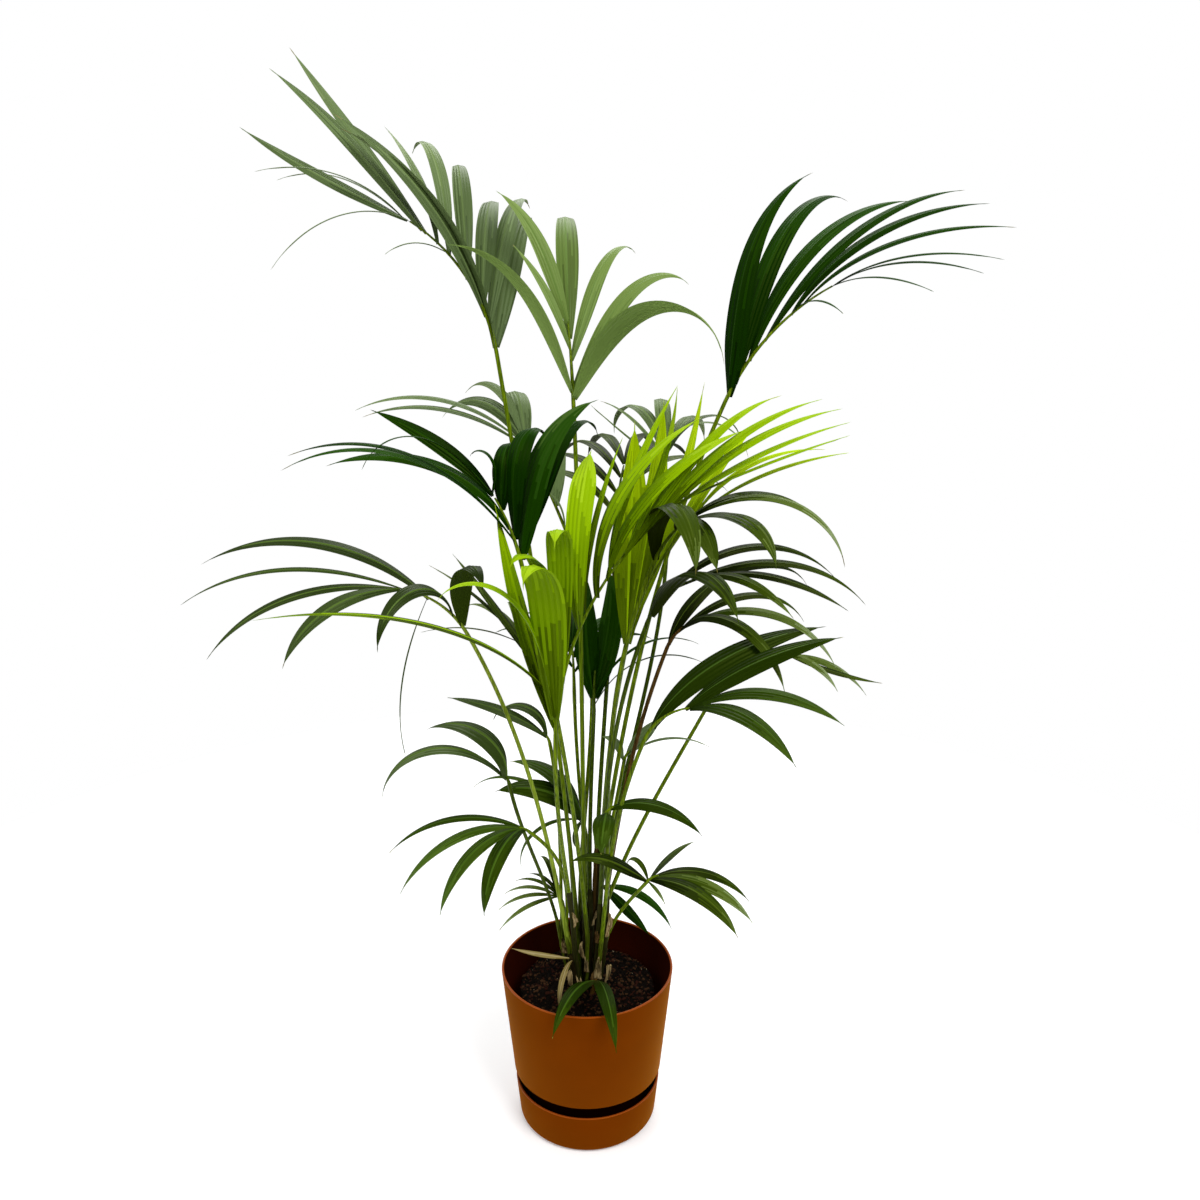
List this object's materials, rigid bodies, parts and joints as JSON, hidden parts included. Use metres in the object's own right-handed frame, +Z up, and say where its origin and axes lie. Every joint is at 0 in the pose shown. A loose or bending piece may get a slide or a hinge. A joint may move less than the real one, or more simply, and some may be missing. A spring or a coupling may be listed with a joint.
{
  "type": "potted kentia palm",
  "caption": "Kentia palm with arching feather fronds on slender green stalks, rising from short canes in a tapered plastic pot with a matching saucer.",
  "frame": {"origin": "centre of the saucer's flat underside, on the floor", "axes": "+Z up along the pot's axis, +X to the plant's right as it is seen from the front, -Y towards the viewer"},
  "size_m": [1.0142, 0.6626, 1.4376],
  "materials": {
    "pot": "moulded plastic, burnt orange brown, satin",
    "soil": "damp coarse potting mix, matte",
    "cane": "dry brown sheaths over ringed green stem",
    "stalk": "smooth waxy green stalk",
    "leaf_dark": "leathery dark green leaf, satin",
    "leaf_olive": "leathery olive green leaf, satin",
    "leaf_mid": "leathery mid green leaf, satin",
    "leaf_grey": "grey-green leaf with a pale sheen",
    "leaf_lime": "young lime green leaf, soft satin"
  },
  "bodies": {
    "root": {"cane_back": "cane", "cane_back_left": "cane", "cane_front_left": "cane", "cane_front_right": "cane", "cane_left": "cane", "cane_middle": "cane", "cane_tall": "cane", "frond_back_high": "leaf_olive", "frond_back_high_stalk": "stalk", "frond_back_left": "leaf_grey", "frond_back_left_stalk": "stalk", "frond_back_low": "leaf_dark", "frond_back_right": "leaf_grey", "frond_back_right_stalk": "stalk", "frond_behind_left": "leaf_olive", "frond_centre": "leaf_dark", "frond_centre_stalk": "stalk", "frond_far_right": "leaf_olive", "frond_far_right_stalk": "stalk", "frond_inner_right": "leaf_grey", "frond_left": "leaf_olive", "frond_left_stalk": "stalk", "frond_low_back": "leaf_dark", "frond_low_left": "leaf_olive", "frond_low_right": "leaf_olive", "frond_low_small": "leaf_olive", "frond_lower_left": "leaf_olive", "frond_middle_left": "leaf_dark", "frond_middle_left_stalk": "stalk", "frond_right": "leaf_olive", "frond_right_lower": "leaf_dark", "frond_right_lower_stalk": "stalk", "frond_right_middle": "leaf_olive", "frond_right_middle_stalk": "stalk", "frond_right_stalk": "stalk", "frond_right_upper": "leaf_olive", "frond_right_upper_stalk": "stalk", "frond_small_left": "leaf_olive", "frond_small_middle": "leaf_olive", "frond_small_right": "leaf_olive", "frond_top_left": "leaf_grey", "frond_top_left_stalk": "stalk", "frond_top_middle": "leaf_mid", "frond_top_middle_stalk": "stalk", "frond_top_right": "leaf_dark", "frond_top_right_stalk": "stalk", "frond_young": "leaf_lime", "frond_young_right": "leaf_lime", "frond_young_right_stalk": "stalk", "frond_young_stalk": "stalk", "leaf_front": "leaf_dark", "pot_cup": "pot", "pot_saucer": "pot", "root_ball": "soil"}
  },
  "joints": []
}
